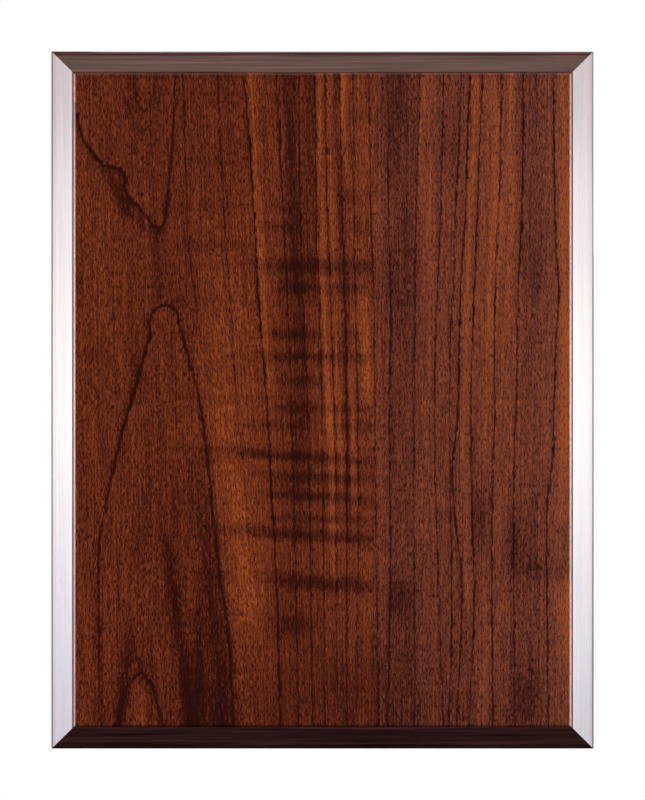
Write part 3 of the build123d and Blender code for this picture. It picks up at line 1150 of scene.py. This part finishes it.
@dataclass
class FigureSheet:
    """The figured veneer on the front, with its edge eased all round.

    Attributes:
        arris: Radius of the eased edge, in metres.
        arris_steps: How many facets round it.
        arris_profile: How full it is, where 0.5 is a quarter round.
        cell: Spacing of the mesh on the face, in metres.
        flat: How far a corner may stand off the front and still lie in it, in metres.
        base_shade: The wood's darkness before any mark.
        band_strength: How strongly the soft bands show.
        leaf_joint: Where the two leaves of veneer meet, in millimetres across. The curly bars end there.
        lean_across: Places across the face, in millimetres.
        lean_shift: How far the grain at each of those drifts to the right over the lean's drop.
        lean_drop: The drop over which the lean is given, in millimetres.
    """

    arris: float = 0.00085
    arris_steps: int = 4
    arris_profile: float = 0.33
    cell: float = 0.0009
    flat: float = 1e-7
    base_shade: float = 0.48
    band_strength: float = 1.3
    leaf_joint: float = 97.9
    lean_across: tuple[float, ...] = (0, 34, 60, 80, 98, 140, 163)
    lean_shift: tuple[float, ...] = (0, 6, 12.5, 5, 0, -3.3, -1.5)
    lean_drop: float = 213.0

    def __post_init__(self) -> None:
        """Take the sheet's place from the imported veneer."""
        self.low, self.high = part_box("face_veneer")
        self.width = self.high.x - self.low.x
        self.height = self.high.z - self.low.z

    def build(self) -> Piece:
        """Build the sheet's mesh and its grain marks.

        Returns:
            The veneer piece.
        """
        bm = bmesh.new()
        columns = round(self.width / self.cell)
        rows = round(self.height / self.cell)
        bmesh.ops.create_grid(bm, x_segments=columns, y_segments=rows, size=0.5)
        bmesh.ops.scale(bm, vec=(self.width, self.height, 1), verts=bm.verts)
        bmesh.ops.rotate(bm, matrix=Matrix.Rotation(math.pi / 2, 3, "X"), verts=bm.verts)
        middle = (self.low + self.high) / 2
        bmesh.ops.translate(bm, vec=(middle.x, self.low.y, middle.z), verts=bm.verts)

        rim = [edge for edge in bm.edges if edge.is_boundary]
        wall = bmesh.ops.extrude_edge_only(bm, edges=rim)["geom"]
        foot = [item for item in wall if isinstance(item, bmesh.types.BMVert)]
        bmesh.ops.translate(bm, vec=(0, self.high.y - self.low.y, 0), verts=foot)
        bmesh.ops.contextual_create(bm, geom=[edge for edge in bm.edges if edge.is_boundary])
        bmesh.ops.bevel(
            bm,
            geom=self.front_rim(bm),
            offset=self.arris,
            offset_type="OFFSET",
            affect="EDGES",
            segments=self.arris_steps,
            profile=self.arris_profile,
            material=-1,
            clamp_overlap=True,
        )
        self.mark_grain(bm)
        return mesh_piece(bm, "figured_face")

    def front_rim(self, bm: bmesh.types.BMesh) -> list[bmesh.types.BMEdge]:
        """Find the edges between the front and the sheet's four thin sides."""
        return [
            edge
            for edge in bm.edges
            if all(abs(vert.co.y - self.low.y) < self.flat for vert in edge.verts)
            and any(abs(face.normal.y) < 0.5 for face in edge.link_faces)
        ]

    def lean(self, spots: np.ndarray) -> np.ndarray:
        """Give each spot's place across the grain, which leans from top to bottom.

        Args:
            spots: One (across, down) row for each spot.

        Returns:
            Millimetres across the grain, as measured along the face's top edge.
        """
        across, down = spots[:, 0], spots[:, 1]
        shift = np.interp(across, self.lean_across, self.lean_shift)
        return across - shift * down / self.lean_drop

    def mark_grain(self, bm: bmesh.types.BMesh) -> None:
        """Write the grain's place, tone and growth lines on the mesh.

        Args:
            bm: The sheet's mesh.
        """
        corners = [((v.co.x - self.low.x) / MM, (self.high.z - v.co.z) / MM) for v in bm.verts]
        spots = np.array(corners)
        in_left_leaf = np.clip(self.leaf_joint + 0.5 - spots[:, 0], 0, 1)
        tone = np.full(len(spots), self.base_shade)
        tone += self.band_strength * sum(band.spread(spots) for band in BANDS)
        tone += sum(bar.spread(spots) for bar in CURLY_BARS) * in_left_leaf
        # The patches include a painted shade along the face's top edge.
        tone += sum(stain.spread(spots) for stain in STAINS_AND_PAINTED_SHADE)
        fields = {"grain": self.lean(spots), "tone": tone}
        for group in LINE_GROUPS:
            fields[f"{group.name}_away"], fields[f"{group.name}_ink"] = group.measure(spots)
        bm.verts.ensure_lookup_table()
        for name, values in fields.items():
            layer = bm.verts.layers.float.new(name)
            for vert, value in zip(bm.verts, values.tolist()):
                vert[layer] = value


@dataclass
class PlaquePanel:
    """The board with its figured face and paper back."""

    cherry: FiguredCherry = FiguredCherry()
    paper: BackingPaper = BackingPaper()
    board: RawFibreboard = RawFibreboard()

    def build(self, nodes: dict) -> list[Piece]:
        """Make the figured face and dress the board and its backing.

        Args:
            nodes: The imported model's nodes by name.

        Returns:
            The pieces of the panel.
        """
        sheet = FigureSheet()
        face = sheet.build()
        dress(face, self.cherry.material(sheet.width / MM / 2))
        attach(face, "root")
        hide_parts("face_veneer")
        backing = dress_nodes(nodes, "backing_sheet", self.paper.material())
        return [face] + backing + dress_nodes(nodes, "core_board", self.board.material())


@dataclass
class MitredEdge:
    """The four walnut mouldings and the steel nails that pull their mitres tight."""

    nail_steel: SteelFinish = SteelFinish(
        "bright_strip_steel", shades=((0.35, "#8d8f92"), (0.68, "#b4b6b8")), roughness=0.28
    )

    def build(self, nodes: dict) -> list[Piece]:
        """Dress the mouldings, each with its grain along the strip, and the mitre nails.

        Args:
            nodes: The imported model's nodes by name.

        Returns:
            The pieces of the edge.
        """
        made = []
        for run, sides in ((GrainRun.UPRIGHT, ("left", "right")), (GrainRun.LEVEL, ("top", "bottom"))):
            walnut = LacqueredWalnut(run).material()
            for side in sides:
                made += dress_nodes(nodes, f"moulding_{side}", walnut)
        return made + dress_nodes(nodes, "mitre_nail_", self.nail_steel.material())


@dataclass
class Hangers:
    """The two keyhole plates let into the back, and their screws."""

    plating: SteelFinish = SteelFinish(
        "zinc_plated_pressed_steel", shades=((0.35, "#8e9196"), (0.68, "#c3c6cb")), roughness=0.30
    )
    screw_plating: SteelFinish = SteelFinish(
        "zinc_plated_screw_steel",
        shades=((0.35, "#a1a29f"), (0.68, "#d2d1c9")),
        roughness=0.22,
        cloud_size=1.5,
    )

    def build(self, nodes: dict) -> list[Piece]:
        """Dress the plates and screws.

        Args:
            nodes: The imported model's nodes by name.

        Returns:
            The pieces of both hangers.
        """
        plates = dress_nodes(nodes, "hanger_plate_", self.plating.material())
        return plates + dress_nodes(nodes, "hanger_screws_", self.screw_plating.material())


# ---------------------------------------------------------------------------- studio


@dataclass(frozen=True)
class LampCard:
    """A flat lit card that the lacquer mirrors and that lights the wood.

    Attributes:
        name: The card's name.
        centre: Its middle, in metres.
        across: Half of its first side, in metres.
        up: Half of its second side, in metres.
        strength: Radiance at its brightest place.
        heights: Colour along the world's up axis, from its lowest to its highest place.
        depths: Strength along the plaque's depth, from the front to behind it.
    """

    name: str
    centre: tuple[float, float, float]
    across: tuple[float, float, float]
    up: tuple[float, float, float]
    strength: float
    heights: tuple[tuple[float, str], ...]
    depths: tuple[Pair, ...] = ((0.0, 1.0), (1.0, 1.0))

    def build(self) -> Piece:
        """Build the card, hidden from the camera.

        Returns:
            The staged card.
        """
        bm = bmesh.new()
        bmesh.ops.create_grid(bm, x_segments=1, y_segments=1, size=1.0)
        first, second, middle = Vector(self.across), Vector(self.up), Vector(self.centre)
        turn = Matrix((first, second, first.cross(second))).transposed()
        bmesh.ops.transform(bm, matrix=Matrix.Translation(middle) @ turn.to_4x4(), verts=bm.verts)
        card = mesh_piece(bm, self.name)
        material, tree = new_material(f"lamp_{self.name}")
        spot = add_node(tree, "SeparateXYZ", links={0: add_node(tree, "TexCoord").outputs["Object"]})
        ramps = []
        for axis, stops in (("z", self.heights), ("y", self.depths)):
            reach = abs(getattr(first, axis)) + abs(getattr(second, axis)) + 1e-6
            start = getattr(middle, axis) - reach
            inputs = {"Value": spot.outputs[axis.upper()], "From Min": start}
            inputs["From Max"] = start + 2 * reach
            place = add_node(tree, "MapRange", links=inputs).outputs[0]
            ramps.append(add_node(tree, "ValToRGB", links={"Fac": place}))
            fill_ramp(ramps[-1], stops)
            ramps[-1].color_ramp.interpolation = "EASE"
        inputs = {0: ramps[1].outputs[0], 1: self.strength}
        strength = add_node(tree, "Math", {"operation": "MULTIPLY"}, inputs).outputs[0]
        lamp = add_node(tree, "Emission", links={"Color": ramps[0].outputs[0], "Strength": strength})
        add_node(tree, "OutputMaterial", links={"Surface": lamp.outputs[0]})
        dress(card, material)
        card.visible_camera = False
        card.visible_shadow = False
        card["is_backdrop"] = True
        return card


@dataclass(frozen=True)
class Studio:
    """Plain pale floor and background, two tall side lamps, two dim cards and the camera.

    Attributes:
        distance: From the camera to the plaque's outline, in metres.
        view_height: The height that the camera sees there, in metres.
        outline_depth: The outline's place in depth, in metres.
        sensor: The camera sensor's longer side, in millimetres.
        clip: The nearest and furthest that the camera sees, in metres.
        dome_radius: The background's radius, in metres.
        floor_gap: How far the floor lies under the plaque, in metres.
        ambient: Strength of the soft light from all round.
        ambient_stops: Its colour from straight below to straight above.
        side_strengths: Radiance of the left and the right lamp.
        side_heights: The side lamps' colours from their foot to their top.
        side_depths: The side lamps' strength from the front to behind the plaque.
    """

    distance: float = 1.6
    view_height: float = 0.2622
    outline_depth: float = -0.0055
    sensor: float = 36.0
    clip: Pair = (0.05, 40.0)
    dome_radius: float = 9.0
    floor_gap: float = 0.0005
    ambient: float = 1.3
    ambient_stops: tuple[tuple[float, Colour], ...] = (
        (0.0, (0.0, 0.0, 0.04, 1.0)),
        (0.44, (0.10, 0.13, 0.22, 1.0)),
        (0.56, (0.56, 0.55, 0.54, 1.0)),
        (1.0, (1.15, 1.12, 1.09, 1.0)),
    )
    side_strengths: Pair = (13.1, 13.3)
    side_heights: tuple[tuple[float, str], ...] = (
        (0.0, "#20242c"), (0.34, "#b9bdca"), (0.385, "#d2d6e0"), (0.5, "#ffffff"),
        (0.60, "#e0dfe4"), (0.64, "#bdb8be"), (1.0, "#2a2628"),
    )
    side_depths: tuple[Pair, ...] = (
        (0.0, 0.08), (0.20, 0.11), (0.25, 1.0), (0.33, 0.90), (0.40, 0.76),
        (0.51, 0.66), (0.55, 0.62), (0.62, 0.36), (1.0, 0.14),
    )

    def build(self, low: Vector, high: Vector) -> None:
        """Build the stage.

        Args:
            low: The plaque's lowest corner.
            high: The plaque's highest corner.
        """
        self.build_background(low)
        for card in self.cards():
            card.build()
        self.build_ambient()
        self.build_camera(low, high)

    def cards(self) -> list[LampCard]:
        """List the lit cards: a tall one on each side, and dim ones above and behind."""
        left, right = self.side_strengths
        sides = [
            LampCard(
                name,
                centre=(place, 0.15, 0.0),
                across=(0, 0.8, 0),
                up=(0, 0, 0.5),
                strength=strength,
                heights=self.side_heights,
                depths=self.side_depths,
            )
            for name, place, strength in (("left_lamp", -0.75, left), ("right_lamp", 0.75, right))
        ]
        top = LampCard(
            "top_card",
            centre=(-0.16, -0.16, 0.8),
            across=(0.42, 0, 0),
            up=(0, 0.33, 0),
            strength=0.62,
            heights=((0.0, "#fff2ea"), (1.0, "#fff2ea")),
        )
        back = LampCard(
            "back_card",
            centre=(0.4, 1.5, 0.55),
            across=(0.55, 0, 0),
            up=(0, -0.16, 0.45),
            strength=0.7,
            heights=((0.0, "#eef1f6"), (1.0, "#eef1f6")),
        )
        return sides + [top, back]

    def build_background(self, low: Vector) -> None:
        """Build the pale floor and the background that meets it, seen by the camera only.

        Args:
            low: The plaque's lowest corner.
        """
        material, tree = new_material("pale_studio_paper")
        lamp = add_node(tree, "Emission", links={"Color": linear("#ffffff"), "Strength": 1.0})
        add_node(tree, "OutputMaterial", links={"Surface": lamp.outputs[0]})
        material.cycles.emission_sampling = "NONE"
        floor = bmesh.new()
        bmesh.ops.create_circle(floor, cap_ends=True, segments=64, radius=self.dome_radius)
        bmesh.ops.translate(floor, vec=(0, 0, low.z - self.floor_gap), verts=floor.verts)
        dome = bmesh.new()
        bmesh.ops.create_uvsphere(dome, u_segments=48, v_segments=24, radius=self.dome_radius)
        for bm, name in ((floor, "pale_floor"), (dome, "background_dome")):
            piece = mesh_piece(bm, name)
            dress(piece, material)
            piece.visible_diffuse = False
            piece.visible_glossy = False
            piece.visible_transmission = False
            piece.visible_shadow = False
            piece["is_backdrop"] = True

    def build_ambient(self) -> None:
        """Light the shadows softly from all round, without a reflection in the lacquer."""
        world = bpy.data.worlds.new("soft_ambient")
        world.use_nodes = True
        tree = world.node_tree
        tree.nodes.clear()
        aim = add_node(tree, "SeparateXYZ", links={0: add_node(tree, "TexCoord").outputs["Generated"]})
        inputs = {"Value": aim.outputs["Z"], "From Min": -1.0, "From Max": 1.0}
        height = add_node(tree, "MapRange", links=inputs).outputs[0]
        shade = add_node(tree, "ValToRGB", links={"Fac": height})
        fill_ramp(shade, self.ambient_stops)
        inputs = {"Color": shade.outputs[0], "Strength": self.ambient}
        sky = add_node(tree, "Background", links=inputs)
        add_node(tree, "OutputWorld", links={"Surface": sky.outputs[0]})
        world.cycles_visibility.glossy = False
        world.cycles_visibility.transmission = False
        bpy.context.scene.world = world

    def build_camera(self, low: Vector, high: Vector) -> None:
        """Build the camera, straight in front of the plaque's middle.

        Args:
            low: The plaque's lowest corner.
            high: The plaque's highest corner.
        """
        lens = bpy.data.cameras.new("studio_camera")
        lens.sensor_width = self.sensor
        lens.lens = self.sensor * self.distance / self.view_height
        lens.clip_start, lens.clip_end = self.clip
        camera = bpy.data.objects.new("studio_camera", lens)
        middle = (low + high) / 2
        camera.location = (middle.x, self.outline_depth - self.distance, middle.z)
        camera.rotation_euler = (math.pi / 2, 0, 0)
        bpy.context.scene.collection.objects.link(camera)
        bpy.context.scene.camera = camera
        bpy.context.scene.view_settings.view_transform = "Standard"


# ---------------------------------------------------------------------------- assembly


def main() -> None:
    """Build the plaque's looks and its studio, sub-assembly by sub-assembly."""
    logging.basicConfig(level=logging.INFO, format="%(name)s: %(message)s")
    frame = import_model()
    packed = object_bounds()
    for assembly in (PlaquePanel(), MitredEdge(), Hangers()):
        for piece in assembly.build(frame["nodes"]):
            faces = len(piece.data.polygons)
            LOG.info("%s: %s, %d faces", type(assembly).__name__, piece.name, faces)
    Studio().build(*packed)


if __name__ == "__main__":
    main()
